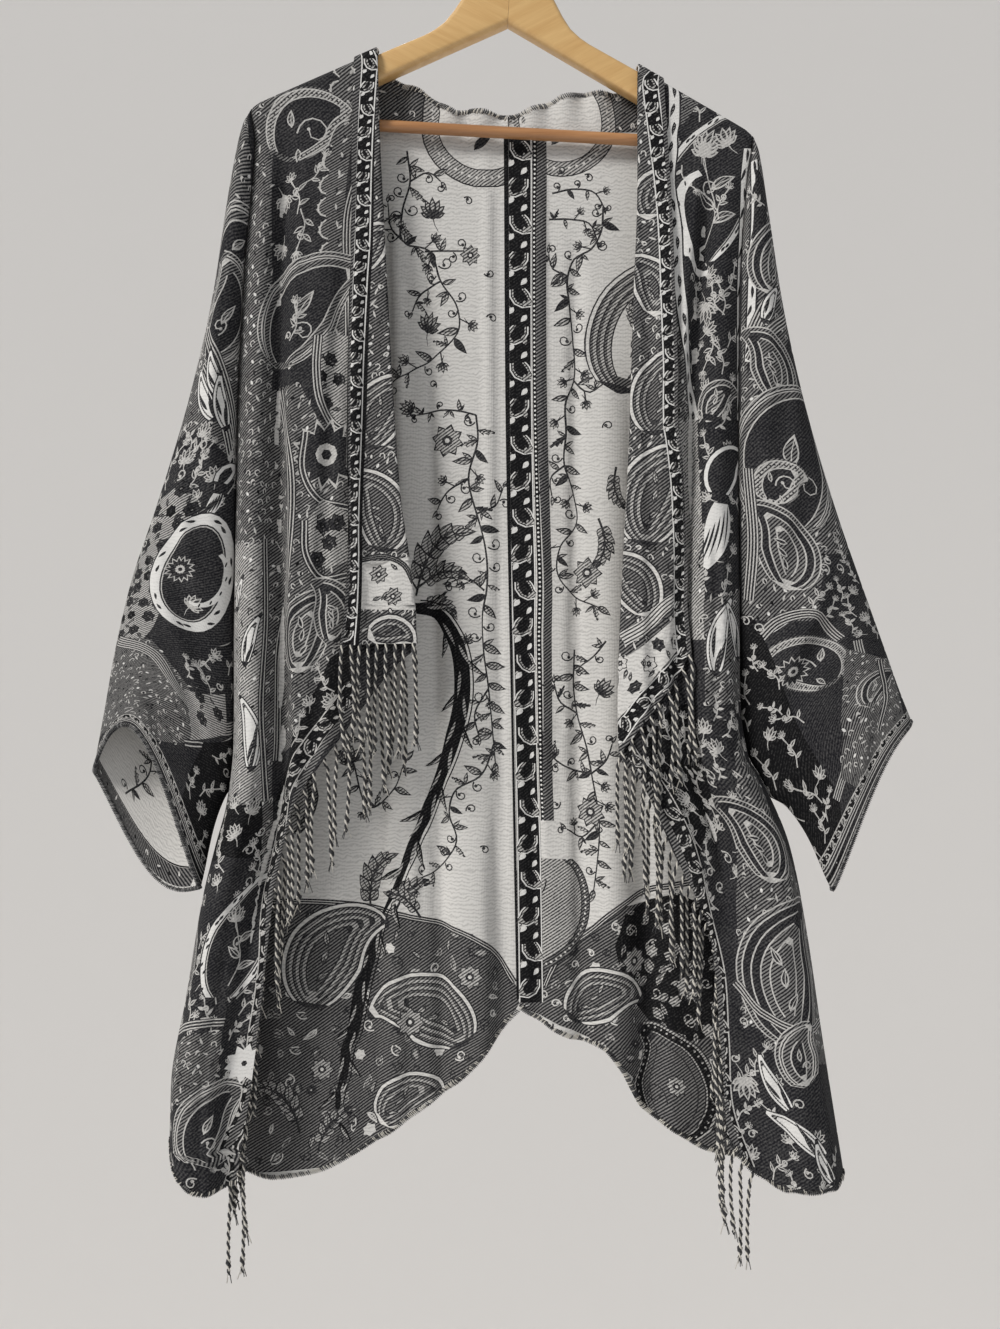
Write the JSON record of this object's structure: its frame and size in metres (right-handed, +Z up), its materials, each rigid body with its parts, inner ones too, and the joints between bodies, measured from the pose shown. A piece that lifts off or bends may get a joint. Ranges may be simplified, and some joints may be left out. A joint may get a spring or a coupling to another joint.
{
  "type": "fringed open-front poncho on a wooden hanger",
  "caption": "Open-front paisley poncho with loose sleeves, turned-out front edges and corded fringe on the front ends, hanging on a flat wooden hanger with a bar and a wire hook.",
  "frame": {"origin": "inside top of the hanger's hook, where a rail carries the whole piece", "axes": "+Z up, -Y the front of the garment, +X to the right of someone who looks at the front"},
  "size_m": [0.752, 0.0763, 1.2969],
  "materials": {
    "cloth": "matt jacquard weave, dark side out",
    "cloth_inside": "matt jacquard weave, pale side out",
    "cord": "twisted black and cream yarn",
    "hanger_wood": "clear satin lacquer",
    "bar_wood": "clear satin lacquer",
    "hook_wire": "bright plated wire"
  },
  "bodies": {
    "root": {"front_left": "cloth", "front_right": "cloth", "back_left": "cloth", "back_right": "cloth", "sleeve_front_left": "cloth", "sleeve_back_upper_left": "cloth", "sleeve_back_lower_left": "cloth", "sleeve_front_right": "cloth", "sleeve_back_upper_right": "cloth", "sleeve_back_lower_right": "cloth", "lapel_left": "cloth_inside", "lapel_right": "cloth_inside", "fringe_front_left": "cord", "fringe_front_right": "cord", "fringe_lapel_left": "cord", "fringe_lapel_right": "cord", "hanger_arm_left": "hanger_wood", "hanger_arm_right": "hanger_wood", "hanger_bar": "bar_wood", "hanger_hook": "hook_wire"}
  },
  "joints": []
}
